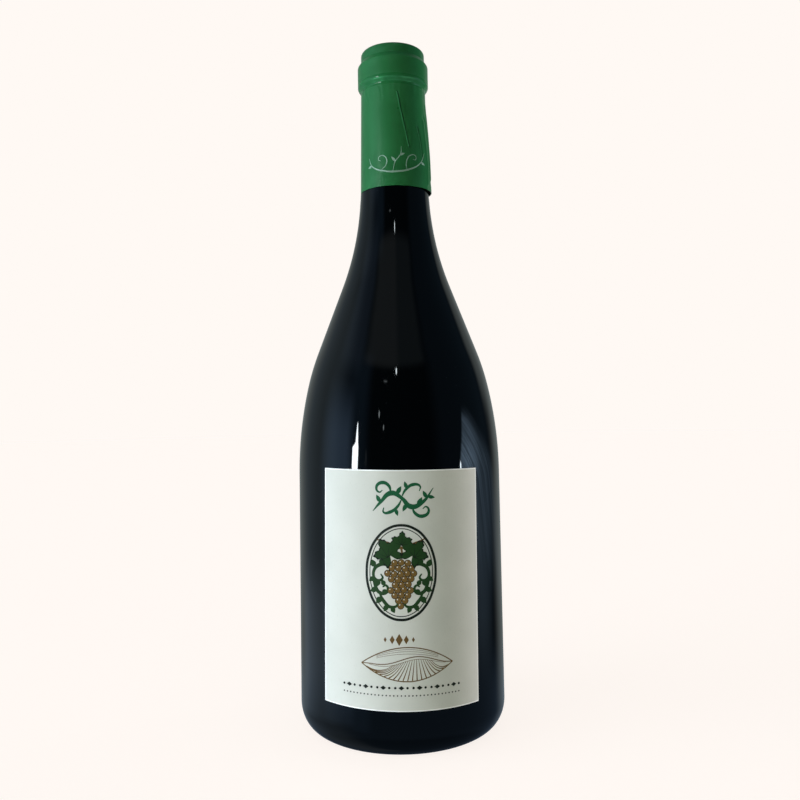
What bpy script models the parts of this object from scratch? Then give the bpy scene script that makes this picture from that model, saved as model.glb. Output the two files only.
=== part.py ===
"""Wine bottle with sloping shoulders, a sleeve over its mouth and a paper label.

Metres, +Z up. The origin is the centre of the ring that the bottle stands on,
and the label faces -Y. The bottle is full and sealed, so its glass and wine are
one solid. The sleeve and the label are thin pieces that lie on it.
"""
from math import asin, atan2, cos, exp, pi, radians, sin, tan

import bmesh
import bpy
from mathutils import Vector

MM = 0.001

# Overall
HEIGHT = 296.0 * MM             # to the top of the sleeve
GAP = 0.3 * MM                  # between one piece and the next
TURN_STEPS = 64                 # sides of a turned piece
MERGE = 0.01 * MM               # points closer than this are one point

# Body and foot
BODY_RADIUS = 44.0 * MM
HEEL_REACH = 7.3 * MM           # how far the heel's round runs inwards
HEEL_RISE = 10.4 * MM           # and upwards
RING_INNER_RADIUS = 33.5 * MM   # inside of the flat ring that the bottle stands on
PUNT_EDGE_ROUND = 2.5 * MM
PUNT_SLOPE = radians(47.0)      # of the hollow's wall, from the table
PUNT_TOP_ROUND = 15.0 * MM

# Shoulder: two rounds that lean in step by step, a straight cone, and the neck's hollow round
SHOULDER_START = 106.7 * MM
UPPER_BODY_ROUND = 168.6 * MM
SHOULDER_ROUND = 106.0 * MM
FIRST_LEAN = radians(13.2)
CONE_LEAN = radians(20.9)
CONE_LENGTH = 31.4 * MM

# Neck and mouth, measured over the sleeve
SLEEVE_LOW = 231.2 * MM
SLEEVE_WALL = 0.4 * MM
NECK_TAPER = radians(0.9)
NECK_TOP = 278.0 * MM           # where the neck meets the ring round the mouth
NECK_TOP_RADIUS = 14.6 * MM
RING_LOW = 280.0 * MM
RING_TOP = 289.1 * MM
RING_RADIUS = 16.0 * MM
LIP_LOW = 291.5 * MM
LIP_RADIUS = 14.4 * MM
NECK_TOP_ROUND = 1.0 * MM
RING_ROUND = 0.9 * MM
LIP_LOW_ROUND = 0.6 * MM
LIP_TOP_ROUND = 1.2 * MM

# Slack of the sleeve: it stands off the glass on the right, most at its lower edge
SLACK_TOP = 273.0 * MM
SLACK_REACH = 1.4 * MM
SLACK_DIRECTION = radians(-8.0)
SLACK_SPREAD = radians(42.0)

# Label
LABEL_WIDTH = 68.0 * MM         # along the curve
LABEL_HEIGHT = 91.7 * MM
LABEL_MIDDLE = 64.5 * MM
LABEL_THICKNESS = 0.25 * MM
LABEL_SKEW = radians(0.85)      # it sits a little askew, its left side high
LABEL_COLUMNS = 24
LABEL_ROWS = 4


def arc(centre, radius, start, end, steps):
    """Points on an arc after its first one. A negative radius gives the far side of the circle."""
    angles = [start + (end - start) * step / steps for step in range(1, steps + 1)]
    return [(centre[0] + radius * cos(angle), centre[1] + radius * sin(angle)) for angle in angles]


def rounded(corners, rounds, steps):
    """A line through corners whose inner ones are rounded, each by its own radius."""
    line = [corners[0]]
    for before, corner, after, radius in zip(corners, corners[1:], corners[2:], rounds):
        corner = Vector(corner)
        back = (Vector(before) - corner).normalized()
        onward = (Vector(after) - corner).normalized()
        half = back.angle(onward) / 2
        centre = corner + (back + onward).normalized() * radius / sin(half)
        first = corner + back * radius / tan(half)
        last = corner + onward * radius / tan(half)
        start = atan2(first.y - centre.y, first.x - centre.x)
        end = atan2(last.y - centre.y, last.x - centre.x)
        turn = (end - start + pi) % (2 * pi) - pi
        line.append(tuple(first))
        line += arc(centre, radius, start, start + turn, steps)
    return line + [corners[-1]]


def neck_radius(height):
    """Radius over the sleeve, on the tapered stretch below the mouth's ring."""
    return NECK_TOP_RADIUS + (NECK_TOP - height) * tan(NECK_TAPER)


def mouth_line(inset, low, steps):
    """Neck, ring and lip from a height up to the axis, drawn in from the sleeve's surface."""
    corners = [
        (neck_radius(low) - inset, low),
        (NECK_TOP_RADIUS - inset, NECK_TOP),
        (RING_RADIUS - inset, RING_LOW),
        (RING_RADIUS - inset, RING_TOP),
        (LIP_RADIUS - inset, LIP_LOW),
        (LIP_RADIUS - inset, HEIGHT - inset),
        (0.0, HEIGHT - inset),
    ]
    return rounded(corners, [NECK_TOP_ROUND, RING_ROUND, RING_ROUND, LIP_LOW_ROUND, LIP_TOP_ROUND], steps)


def punt_line():
    """Hollow under the bottle, from its top on the axis out to the flat ring."""
    edge = (RING_INNER_RADIUS, PUNT_EDGE_ROUND)
    wall_low = (edge[0] - PUNT_EDGE_ROUND * sin(PUNT_SLOPE), edge[1] - PUNT_EDGE_ROUND * cos(PUNT_SLOPE))
    reach = PUNT_TOP_ROUND * sin(PUNT_SLOPE)
    wall_high = wall_low[1] + (wall_low[0] - reach) * tan(PUNT_SLOPE)
    dome = (0.0, wall_high - PUNT_TOP_ROUND * cos(PUNT_SLOPE))
    top = (0.0, dome[1] + PUNT_TOP_ROUND)
    down = arc(dome, PUNT_TOP_ROUND, pi / 2, pi / 2 - PUNT_SLOPE, 3)
    foot = arc(edge, PUNT_EDGE_ROUND, -pi / 2 - PUNT_SLOPE, -pi / 2, 3)
    return [top] + down + [wall_low] + foot


def heel_line():
    """Elliptical round from the flat ring up to the body."""
    quarter = arc((0.0, 0.0), 1.0, -pi / 2, 0.0, 6)
    start = (BODY_RADIUS - HEEL_REACH, 0.0)
    return [start] + [(start[0] + HEEL_REACH * r, HEEL_RISE * (1 + z)) for r, z in quarter]


def shoulder_line():
    """Body and shoulder, up to the sleeve's lower edge."""
    line = [(BODY_RADIUS, SHOULDER_START)]
    centre = (BODY_RADIUS - UPPER_BODY_ROUND, SHOULDER_START)
    line += arc(centre, UPPER_BODY_ROUND, 0.0, FIRST_LEAN, 5)
    r, z = line[-1]
    centre = (r - SHOULDER_ROUND * cos(FIRST_LEAN), z - SHOULDER_ROUND * sin(FIRST_LEAN))
    line += arc(centre, SHOULDER_ROUND, FIRST_LEAN, CONE_LEAN, 3)
    r, z = line[-1]
    r -= CONE_LENGTH * sin(CONE_LEAN)
    z += CONE_LENGTH * cos(CONE_LEAN)
    line.append((r, z))
    # The hollow round leaves the cone and would meet the neck's taper without a kink
    drop = cos(NECK_TAPER) - cos(CONE_LEAN)
    rise = sin(CONE_LEAN) - sin(NECK_TAPER)
    neck_round = (r - neck_radius(z)) / (drop - rise * tan(NECK_TAPER))
    centre = (r + neck_round * cos(CONE_LEAN), z + neck_round * sin(CONE_LEAN))
    end = asin(sin(CONE_LEAN) - (SLEEVE_LOW - GAP - z) / neck_round)
    return line + arc(centre, -neck_round, CONE_LEAN, end, 8)


def principled(name, colour, roughness, metallic=0.0):
    """A plain material with one colour."""
    material = bpy.data.materials.new(name)
    material.use_nodes = True
    shader = material.node_tree.nodes["Principled BSDF"]
    shader.inputs["Base Color"].default_value = (*colour, 1.0)
    shader.inputs["Roughness"].default_value = roughness
    shader.inputs["Metallic"].default_value = metallic
    return material


def make_object(name, mesh, material, sharp=radians(30.0)):
    """Puts a mesh into the scene, shaded smooth away from its edges."""
    mesh.materials.append(material)
    mesh.shade_smooth()
    mesh.set_sharp_from_angle(angle=sharp)
    piece = bpy.data.objects.new(name, mesh)
    bpy.context.collection.objects.link(piece)
    return piece


def turned_mesh(name, line):
    """A closed body turned about Z. The line starts and ends on the axis."""
    bm = bmesh.new()
    points = [bm.verts.new((r, 0.0, z)) for r, z in line]
    edges = [bm.edges.new(pair) for pair in zip(points, points[1:])]
    bmesh.ops.spin(bm, geom=points + edges, axis=(0, 0, 1), angle=2 * pi, steps=TURN_STEPS, use_merge=True)
    bmesh.ops.remove_doubles(bm, verts=bm.verts, dist=MERGE)
    bmesh.ops.recalc_face_normals(bm, faces=bm.faces)
    mesh = bpy.data.meshes.new(name)
    bm.to_mesh(mesh)
    bm.free()
    return mesh


def add_bottle():
    """The glass, full and closed, with a step under the sleeve that lets it lie nearly flush."""
    mouth = mouth_line(SLEEVE_WALL + GAP, SLEEVE_LOW - GAP, 2)
    line = punt_line() + heel_line() + shoulder_line() + mouth
    glass = principled("green_black_glass", (0.008, 0.011, 0.012), 0.06)
    return make_object("bottle", turned_mesh("bottle", line), glass)


def stand_off(point):
    """How far the slack sleeve is pushed outwards at a point."""
    if point.z > SLACK_TOP:
        return 0.0
    along = sin((SLACK_TOP - point.z) / (SLACK_TOP - SLEEVE_LOW) * pi / 2)
    away = (atan2(point.y, point.x) - SLACK_DIRECTION) / SLACK_SPREAD
    return SLACK_REACH * along * exp(-away * away)


def with_rows(line, count=4):
    """Divides the line's first stretch, which is straight, so that it can bend."""
    first, second = Vector(line[0]), Vector(line[1])
    rows = [tuple(first.lerp(second, step / count)) for step in range(count)]
    return rows + line[1:]


def add_sleeve():
    """The sleeve, one thin wall with a closed top that follows the neck, ring and lip."""
    outer = with_rows(mouth_line(0.0, SLEEVE_LOW, 3))
    inner = with_rows(mouth_line(SLEEVE_WALL, SLEEVE_LOW, 2))
    mesh = turned_mesh("capsule", inner[::-1] + outer)
    for vertex in mesh.vertices:
        way = Vector((vertex.co.x, vertex.co.y, 0.0))
        if way.length > MM:
            vertex.co += way.normalized() * stand_off(vertex.co)
    return make_object("capsule", mesh, principled("green_sleeve", (0.03, 0.16, 0.07), 0.4))


def add_label():
    """The label, a flat sheet turned a little and wrapped round the body."""
    bm = bmesh.new()
    bmesh.ops.create_grid(bm, x_segments=LABEL_COLUMNS, y_segments=LABEL_ROWS, size=0.5)
    radius = BODY_RADIUS + GAP
    for vertex in bm.verts:
        across = vertex.co.x * LABEL_WIDTH
        up = vertex.co.y * LABEL_HEIGHT
        angle = (across * cos(LABEL_SKEW) + up * sin(LABEL_SKEW)) / BODY_RADIUS
        height = up * cos(LABEL_SKEW) - across * sin(LABEL_SKEW)
        vertex.co = (radius * sin(angle), -radius * cos(angle), height)
    mesh = bpy.data.meshes.new("label")
    bm.to_mesh(mesh)
    bm.free()
    label = make_object("label", mesh, principled("off_white_paper", (0.70, 0.72, 0.68), 0.75))
    label.location.z = LABEL_MIDDLE
    paper = label.modifiers.new("paper", "SOLIDIFY")
    paper.thickness = LABEL_THICKNESS
    paper.offset = 1.0
    return label


for old in list(bpy.data.objects):
    bpy.data.objects.remove(old)
add_bottle()
add_sleeve()
add_label()
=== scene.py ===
# %% [markdown]
# # Dressing a wine bottle
#
# The CAD model has the bottle's true size and its three solids: the full, sealed glass, the
# sleeve over its mouth, and the paper label. This lesson gives each of them the form and
# finish of the real thing. The CAD solids are never moved. Each one is hidden and stands in
# for collision, and a finer piece of the same size takes its place in the picture.

from math import asin, atan2, cos, exp, hypot, pi, radians, sin, tan

import bpy
from mathutils import Matrix, Vector


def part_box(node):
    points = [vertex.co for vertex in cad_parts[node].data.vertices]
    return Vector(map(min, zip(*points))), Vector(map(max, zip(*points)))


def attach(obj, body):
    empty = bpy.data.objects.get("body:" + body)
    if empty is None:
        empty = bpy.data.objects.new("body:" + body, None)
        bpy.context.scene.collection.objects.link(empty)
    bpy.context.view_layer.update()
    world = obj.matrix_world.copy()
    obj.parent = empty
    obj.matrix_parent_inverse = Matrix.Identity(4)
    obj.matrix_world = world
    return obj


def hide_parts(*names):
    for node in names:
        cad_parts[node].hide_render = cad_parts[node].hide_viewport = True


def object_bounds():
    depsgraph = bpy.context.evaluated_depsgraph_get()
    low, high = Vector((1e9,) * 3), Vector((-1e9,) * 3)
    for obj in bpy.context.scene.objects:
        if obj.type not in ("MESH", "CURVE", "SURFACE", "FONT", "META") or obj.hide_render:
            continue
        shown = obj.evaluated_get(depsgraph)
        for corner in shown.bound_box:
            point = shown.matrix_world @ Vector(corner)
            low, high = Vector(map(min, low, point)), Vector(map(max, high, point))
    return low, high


MM = 0.001
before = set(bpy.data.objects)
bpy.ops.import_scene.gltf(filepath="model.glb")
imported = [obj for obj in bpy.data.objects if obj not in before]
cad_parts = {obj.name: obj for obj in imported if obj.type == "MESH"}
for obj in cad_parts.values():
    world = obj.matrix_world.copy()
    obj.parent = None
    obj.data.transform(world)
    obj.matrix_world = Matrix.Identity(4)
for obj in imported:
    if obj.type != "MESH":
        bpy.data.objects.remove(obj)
cad_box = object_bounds()
bottle_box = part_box("bottle")
sleeve_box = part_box("capsule")
label_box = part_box("label")
print("nodes:", sorted(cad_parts), "height:", round(cad_box[1].z / MM, 1), "mm")

# %% [markdown]
# ## The camera
#
# The photograph was taken from close by, a little under half the bottle's height, and tilted
# up. That is why the rims at the mouth curve upwards and the label's foot curves down. Distance,
# height and lens were fitted to the bottle's outline, so the picture and the render line up.
# The small shift does what the photograph's crop does. It stays small, because views from other
# sides keep it.

# %% Camera
SENSOR = 36.0                    # mm, Blender's usual width
LENS = 35.51                     # mm
CAMERA_DISTANCE = 353.1 * MM
CAMERA_HEIGHT = 134.15 * MM
CAMERA_TILT = 0.0617             # radians, upwards
CAMERA_ROLL = -0.0165
CAMERA_SHIFT = (0.0032, -0.05)   # shares of the picture's width


def added(operator, name, **settings):
    """Adds something with nothing else selected, names it and gives it back."""
    bpy.ops.object.select_all(action="DESELECT")
    operator(**settings)
    new = bpy.context.active_object
    new.name = name
    return new


camera = added(bpy.ops.object.camera_add, "Camera")
camera.data.sensor_width = SENSOR
camera.data.lens = LENS
camera.data.shift_x = CAMERA_SHIFT[0]
camera.data.shift_y = CAMERA_SHIFT[1]
place = Matrix.Translation((0.0, -CAMERA_DISTANCE, CAMERA_HEIGHT))
place = place @ Matrix.Rotation(pi / 2 + CAMERA_TILT, 4, "X")
camera.matrix_world = place @ Matrix.Rotation(CAMERA_ROLL, 4, "Z")
bpy.context.scene.camera = camera
bpy.context.scene.view_settings.view_transform = "Standard"
print("camera:", round(CAMERA_DISTANCE / MM), "mm away,", round(CAMERA_HEIGHT / MM), "mm up")

# %% [markdown]
# ## Writing shaders as sums
#
# A material is a tree of nodes, and much of it is arithmetic. A `Wire` wraps a socket so that
# Python's operators add the Math nodes: `1 - mask * 0.5` reads better than four calls. Every
# other node comes from one method, which sets the node's options first and its sockets after.
# Colours never go through a Math node, which would turn them grey.

# %% Wires and trees
class Wire:
    """A shader socket that takes part in sums."""

    def __init__(self, tree, socket):
        self.tree = tree
        self.socket = socket

    def math(self, operation, *others):
        return self.tree.node("ShaderNodeMath", {"operation": operation}, dict(enumerate((self, *others))))

    def __add__(self, other):
        return self.math("ADD", other)

    def __mul__(self, other):
        return self.math("MULTIPLY", other)

    def __sub__(self, other):
        return self.math("SUBTRACT", other)

    def __rsub__(self, other):
        return self.tree.node("ShaderNodeMath", {"operation": "SUBTRACT"}, {0: other, 1: self})

    __radd__ = __add__
    __rmul__ = __mul__

    def smooth(self, low, high):
        """0 below one value and 1 above another, with a soft step between them."""
        limits = {"Value": self, "From Min": low, "From Max": high}
        return self.tree.node("ShaderNodeMapRange", {"interpolation_type": "SMOOTHSTEP"}, limits)

    def between(self, low, high, soft):
        """1 between two values and 0 outside them, with soft edges."""
        return self.smooth(low - soft, low + soft) * (1 - self.smooth(high - soft, high + soft))


class Tree:
    """The nodes of a material or of the world."""

    def __init__(self, owner):
        owner.use_nodes = True
        self.nodes = owner.node_tree.nodes
        self.links = owner.node_tree.links
        self.nodes.clear()

    def node(self, kind, settings=None, sockets=None, output=0):
        """A new node with its settings, then its sockets' values or wires. Gives one output."""
        made = self.nodes.new(kind)
        for name, value in (settings or {}).items():
            setattr(made, name, value)
        for name, value in (sockets or {}).items():
            if isinstance(value, Wire):
                self.links.new(value.socket, made.inputs[name])
            else:
                made.inputs[name].default_value = value
        return Wire(self, made.outputs[output]) if len(made.outputs) else None

    def mixed(self, mask, low, high):
        """One colour where the mask is 0 and another where it is 1."""
        return self.node("ShaderNodeMix", {"data_type": "RGBA"}, {0: mask, 6: low, 7: high}, output=2)

    def noise(self, place, scale, detail=2.0):
        """Soft random grain. The scale is in lumps to a metre."""
        return self.node("ShaderNodeTexNoise", {}, {"Vector": place, "Scale": scale, "Detail": detail})

    def split(self, vector):
        """The X, Y and Z of a vector, each as a wire."""
        parts = self.node("ShaderNodeSeparateXYZ", {}, {"Vector": vector}).socket.node.outputs
        return [Wire(self, part) for part in parts]

    def stretched(self, place, shares):
        """Coordinates scaled by a share along each axis."""
        return self.node("ShaderNodeMapping", {}, {"Vector": place, "Scale": shares})


class Finish(Tree):
    """A material with one Principled shader. Values that are the same all over sit on its sockets."""

    def __init__(self, name, same_all_over):
        self.material = bpy.data.materials.new(name)
        super().__init__(self.material)
        self.shader = self.node("ShaderNodeBsdfPrincipled", {}, same_all_over)
        self.node("ShaderNodeOutputMaterial", {}, {"Surface": self.shader})
        self.place = self.node("ShaderNodeTexCoord", output="Object")

    def vary(self, wires):
        """Feeds what changes over the surface."""
        for name, wire in wires.items():
            self.links.new(wire.socket, self.shader.socket.node.inputs[name])

    def bump(self, height, depth, below=None):
        """Relief too fine for the mesh. The depth is in metres."""
        sockets = {"Height": height, "Distance": depth}
        if below:
            sockets["Normal"] = below
        return self.node("ShaderNodeBump", {}, sockets)


print("shader helpers ready")

# %% [markdown]
# ## The studio
#
# Dark glass has almost no colour of its own: what shows on it is the room. So the light is the
# most important material here. The real studio could be built from lamps and cards, but they
# would stand in the way of other views. Here the world itself is painted by direction: `turn`
# is the angle round the bottle, 0 towards the camera and positive to the right, and `rise` is
# the angle above the horizon. A window on the left gives the thin highlight and lights the
# label, a cool wall beside it gives the soft band, the far wall behind the bottle lights its
# rims, and the front stays dark so that the middle of the glass goes black. Three of these
# lights have a shape of their own, and the rest are rows of one table.

# %% World
CREAM = (1.0, 0.947, 0.905, 1.0)
TO_DEGREES = 180.0 / pi
world = bpy.data.worlds.new("studio")
bpy.context.scene.world = world
studio = Tree(world)
along_x, along_y, along_z = studio.split(studio.node("ShaderNodeTexCoord", output="Generated"))
turn = along_x.math("ARCTAN2", 0 - along_y) * TO_DEGREES
rise = along_z.math("ARCSINE") * TO_DEGREES

WINDOW_LOW = -6.0
WINDOW_TOP = 12.6
PANE_SOFT = 0.25                 # degrees, of the window's upright edges


def leaning(base, *bends):
    """An upright edge that leans. Each bend: by how much, and between which heights."""
    edge = base
    for amount, low, high in bends:
        edge = edge + amount * rise.smooth(low, high)
    return edge


window_left = leaning(-53.8, (0.5, -2.0, 4.0), (3.7, 4.4, 6.8), (1.0, 6.5, 12.5))
window_right = leaning(-47.0, (0.8, -3.0, 4.0), (-0.6, 5.0, 7.0), (-0.9, 7.0, 12.5))
window = (turn - window_left).smooth(-PANE_SOFT, PANE_SOFT)
window = window * (window_right - turn).smooth(-PANE_SOFT, PANE_SOFT)
window = window * rise.between(WINDOW_LOW, WINDOW_TOP, 0.5)
cloth = studio.node("ShaderNodeCombineXYZ", {}, {0: (turn + 2.3 * rise) * 0.34, 1: rise * 0.05})
streaks = studio.noise(cloth, 1.0).smooth(0.30, 0.70)
curtain = (turn - 0.62 * rise).smooth(71.0, 74.0) * (1 - (turn + 2.6 * rise).smooth(102.0, 127.0))
curtain = curtain * (1 - 0.75 * turn.smooth(84.0, 108.0)) * (1 - 0.5 * rise.smooth(-2.0, 9.0))
curtain = curtain * rise.smooth(-14.0, 0.0) * (1 - rise.smooth(10.0, 15.0)) * (0.45 + 1.1 * streaks)
far_wall = turn.math("ABSOLUTE").smooth(122.0, 146.0) * (1 - rise.smooth(58.0, 74.0))
far_wall = far_wall * (0.28 + 0.72 * rise.smooth(-30.0, -8.0)) * (0.12 + 0.88 * rise.smooth(-38.0, -26.0))
LIGHTS = [(window, (0.93, 1.0, 1.05), 28.0), (curtain, (0.68, 0.98, 1.33), 1.36),
          (far_wall, (0.94, 1.06, 1.02), 0.27)]

# The rest are plain patches: a name, the two pairs of turns between which each comes and goes,
# the same for its rise, a colour and a strength. START and END lie outside every direction.
START = (-200, -190)
END = (190, 200)
PATCHES = (
    ("cool wall", (-146, -122), (-94, -62), (-25, -15), (32, 48), (0.76, 0.96, 1.08), 0.24),
    ("its foot", (-150, -130), (-96, -76), (-22, -17), (-14.5, -9.5), (0.80, 1.0, 1.30), 0.18),
    ("glow", (-104, -76), (-63, -50), (-23, -16), (6, 26), (0.50, 0.78, 1.20), 0.527),
    ("its fading top", (-104, -76), (-63, -50), (-23, -16), (30, 44), (0.50, 0.78, 1.20), 0.093),
    ("its near side", (-64, -50), (-44, -30), (-29, -15), (31, 45), (0.45, 0.80, 1.30), 0.10),
    ("glow higher up", (-102, -84), (-62, -48), (25, 41), (46, 62), (0.62, 0.90, 1.35), 0.13),
    ("upper front", (-60, -44), (34, 46), (33, 39), END, (0.90, 1.10, 1.20), 0.07),
    ("its left", (-56, -40), (-6, 6), (33, 37), END, (1.0, 0.98, 0.95), 0.055),
    ("right", (34, 54), (114, 134), (-18, -10), END, (0.55, 1.0, 1.45), 0.036),
    ("lower right", (60, 82), (98, 128), (-20, -14), (-10, -4), (0.70, 1.0, 1.30), 0.22),
    ("far right", (121, 130), (130, 143), (4, 14), (30, 40), (0.94, 1.06, 1.02), 0.15),
    ("low", START, END, START, (-20, -15), (0.60, 0.95, 1.45), 0.051),
    ("nearer the table", START, END, (-48, -34), (-20, -15), (0.60, 0.95, 1.45), 0.034),
    ("low left", (-150, -120), (-84, -46), START, (-24, -18), (0.95, 1.05, 1.05), 0.075),
)
for name, turn_up, turn_down, rise_up, rise_down, colour, strength in PATCHES:
    mask = turn.smooth(*turn_up) * (1 - turn.smooth(*turn_down))
    LIGHTS.append((mask * rise.smooth(*rise_up) * (1 - rise.smooth(*rise_down)), colour, strength))

# Small lamps far off: turn, rise, how far each reaches both ways, in degrees, and strength
LAMPS = (
    (-1.9, 33.6, 0.9, 2.3, 22.0), (-16.4, 28.2, 3.2, 0.40, 1.6), (-22.7, 16.6, 0.6, 1.5, 6.0),
    (-17.3, 12.3, 0.5, 1.1, 4.5), (72.3, -2.2, 0.8, 2.0, 26.0), (-36.7, 1.7, 0.9, 3.5, 0.2),
)
for at_turn, at_rise, half_turn, half_rise, strength in LAMPS:
    across = (turn - at_turn) * (1 / half_turn)
    up = (rise - at_rise) * (1 / half_rise)
    LIGHTS.append((1 - (across * across + up * up).smooth(0.2, 1.0), (0.9, 1.0, 1.05), strength))
ROOM_DARK = (0.010, 0.014, 0.022)
total = studio.node("ShaderNodeCombineXYZ", {}, dict(enumerate(ROOM_DARK)))
for mask, colour, strength in LIGHTS:
    tint = tuple(channel * strength for channel in colour)
    part = studio.node("ShaderNodeVectorMath", {"operation": "SCALE"}, {0: tint, "Scale": mask})
    total = studio.node("ShaderNodeVectorMath", {"operation": "ADD"}, {0: total, 1: part})
seen = studio.node("ShaderNodeLightPath", output="Is Camera Ray")
shown = studio.mixed(seen, total, CREAM)
glow = studio.node("ShaderNodeBackground", {}, {"Color": shown})
studio.node("ShaderNodeOutputWorld", {}, {"Surface": glow})
print("lights painted:", len(LIGHTS), "of which patches:", [patch[0] for patch in PATCHES])

# %% [markdown]
# The painted room shapes the reflections. Paper and film want more: a broad key from the left,
# a fill from far right that lifts the label's right edge, a weak warm light from the front, and
# one from above. Four soft suns do that, and they are hidden from mirror reflections, so the
# glass doesn't show them. The three level ones shine a little upwards, as a low window does,
# and so leave the floor alone.

# %% Soft suns
# Each sun: its name, turn, rise and softness in degrees, strength, and colour
SUNS = (
    ("key", -73.5, -4.0, 61.0, 3.40, (0.90, 1.0, 1.11)),
    ("fill", 115.0, -4.0, 21.0, 4.50, (1.02, 0.99, 1.06)),
    ("front", 16.0, -8.0, 94.0, 0.62, (1.04, 0.94, 0.47)),
    ("top", 20.0, 80.0, 70.0, 0.35, (1.0, 1.0, 1.0)),
)
for name, sun_turn, sun_rise, softness, strength, colour in SUNS:
    sun = added(bpy.ops.object.light_add, name, type="SUN")
    towards = Vector((sin(radians(sun_turn)) * cos(radians(sun_rise)),
                      -cos(radians(sun_turn)) * cos(radians(sun_rise)), sin(radians(sun_rise))))
    sun.rotation_euler = towards.to_track_quat("Z", "Y").to_euler()
    sun.data.energy = strength
    sun.data.angle = radians(softness)
    sun.data.color = colour
    sun.visible_glossy = False
print("suns:", [sun[0] for sun in SUNS])

# %% [markdown]
# ## The floor
#
# The bottle stands in front of nothing but cream. The floor is the same cream: most of its
# brightness is its own, and a small diffuse share takes the soft shadow where the heel meets
# it. It is left out of reflections, so the foot of the glass stays dark, and it is clear from
# below, so the underside can be looked at.

# %% Floor
FLOOR_RADIUS = 4.0
FLOOR_DIFFUSE = 0.25             # share of cream that the room's light gives
FLOOR_GLOW = (0.913, 0.853, 0.811, 1.0)  # what it gives by itself: both make up the cream
floor = added(bpy.ops.mesh.primitive_circle_add, "floor", vertices=64, radius=FLOOR_RADIUS, fill_type="NGON")
floor_material = bpy.data.materials.new("cream_floor")
cover = Tree(floor_material)
room_share = (*(channel * FLOOR_DIFFUSE for channel in CREAM[:3]), 1.0)
matt = cover.node("ShaderNodeBsdfDiffuse", {}, {"Color": room_share})
light = cover.node("ShaderNodeEmission", {}, {"Color": FLOOR_GLOW})
both = cover.node("ShaderNodeAddShader", {}, {0: matt, 1: light})
clear = cover.node("ShaderNodeBsdfTransparent")
from_below = cover.node("ShaderNodeNewGeometry", output="Backfacing")
cover.node("ShaderNodeOutputMaterial", {}, {
    "Surface": cover.node("ShaderNodeMixShader", {}, {0: from_below, 1: both, 2: clear}),
})
floor.data.materials.append(floor_material)
floor.visible_glossy = False
floor.visible_diffuse = False
floor.visible_shadow = False
print("floor:", 2 * FLOOR_RADIUS, "m across")

# %% [markdown]
# ## Lines for turned pieces
#
# Glass bottles are blown into a mould that is round, so half an outline says it all. The
# outline is made of straight runs and arcs, as a mould maker would draw it. `rounded` fillets
# the corners of a line, and `fine` divides long runs so that the surface can be shaped later.

# %% Outline helpers
MERGE = 0.004 * MM


def arc(centre, radius, start, end, steps):
    """Points on an arc after its first one. A negative radius gives the far side of the circle."""
    angles = [start + (end - start) * step / steps for step in range(1, steps + 1)]
    return [(centre[0] + radius * cos(angle), centre[1] + radius * sin(angle)) for angle in angles]


def rounded(corners, rounds, steps):
    """A line through corners whose inner ones are rounded, each by its own radius."""
    line = [corners[0]]
    for before, corner, after, radius in zip(corners, corners[1:], corners[2:], rounds):
        corner = Vector(corner)
        back = (Vector(before) - corner).normalized()
        onward = (Vector(after) - corner).normalized()
        half = back.angle(onward) / 2
        centre = corner + (back + onward).normalized() * radius / sin(half)
        first = corner + back * radius / tan(half)
        last = corner + onward * radius / tan(half)
        start = atan2(first.y - centre.y, first.x - centre.x)
        end = atan2(last.y - centre.y, last.x - centre.x)
        line.append(tuple(first))
        line += arc(centre, radius, start, start + (end - start + pi) % (2 * pi) - pi, steps)
    return line + [corners[-1]]


def fine(line, spacing):
    """The same line with extra points, so that no stretch is longer than the spacing."""
    points = [line[0]]
    for (r, z), (next_r, next_z) in zip(line, line[1:]):
        count = max(1, round(hypot(next_r - r, next_z - z) / spacing + 0.5))
        points += [(r + (next_r - r) * k / count, z + (next_z - z) * k / count) for k in range(1, count + 1)]
    return points


def only(*pieces):
    """Selects these pieces alone and makes the first one active."""
    bpy.ops.object.select_all(action="DESELECT")
    for piece in pieces:
        piece.select_set(True)
    bpy.context.view_layer.objects.active = pieces[0]


def joined(name, pieces):
    """Several shapes as one piece."""
    only(*pieces)
    if len(pieces) > 1:
        bpy.ops.object.join()
    pieces[0].name = name
    return pieces[0]


def settle(piece, sharp=radians(35.0)):
    """Puts a piece's place into its mesh and shades it smooth away from sharp edges."""
    only(piece)
    bpy.ops.object.transform_apply(location=True, rotation=True, scale=True)
    bpy.ops.object.shade_smooth_by_angle(angle=sharp)
    return piece


def turned(name, line, steps):
    """A turned piece. One corner is extruded along the outline, which is then spun round the axis."""
    start = (line[0][0], 0.0, line[0][1])
    piece = added(bpy.ops.mesh.primitive_plane_add, name, size=MM, location=start)
    bpy.ops.object.mode_set(mode="EDIT")
    bpy.ops.mesh.merge(type="CENTER")
    for (r, z), (next_r, next_z) in zip(line, line[1:]):
        bpy.ops.mesh.extrude_vertices_move(TRANSFORM_OT_translate={"value": (next_r - r, 0.0, next_z - z)})
    bpy.ops.mesh.select_all(action="SELECT")
    bpy.ops.mesh.spin(steps=steps, angle=2 * pi, center=(0.0, 0.0, 0.0), axis=(0.0, 0.0, 1.0))
    bpy.ops.mesh.select_all(action="SELECT")
    bpy.ops.mesh.remove_doubles(threshold=MERGE)
    bpy.ops.mesh.normals_make_consistent(inside=False)
    bpy.ops.object.mode_set(mode="OBJECT")
    return settle(piece)


def thickened(piece, thickness):
    """Gives an open skin its wall, inwards from where it lies."""
    only(piece)
    wall = piece.modifiers.new("wall", "SOLIDIFY")
    wall.thickness = thickness
    wall.offset = -1.0
    bpy.ops.object.modifier_apply(modifier=wall.name)


def triangles(piece):
    return sum(len(face.vertices) - 2 for face in piece.data.polygons)


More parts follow.
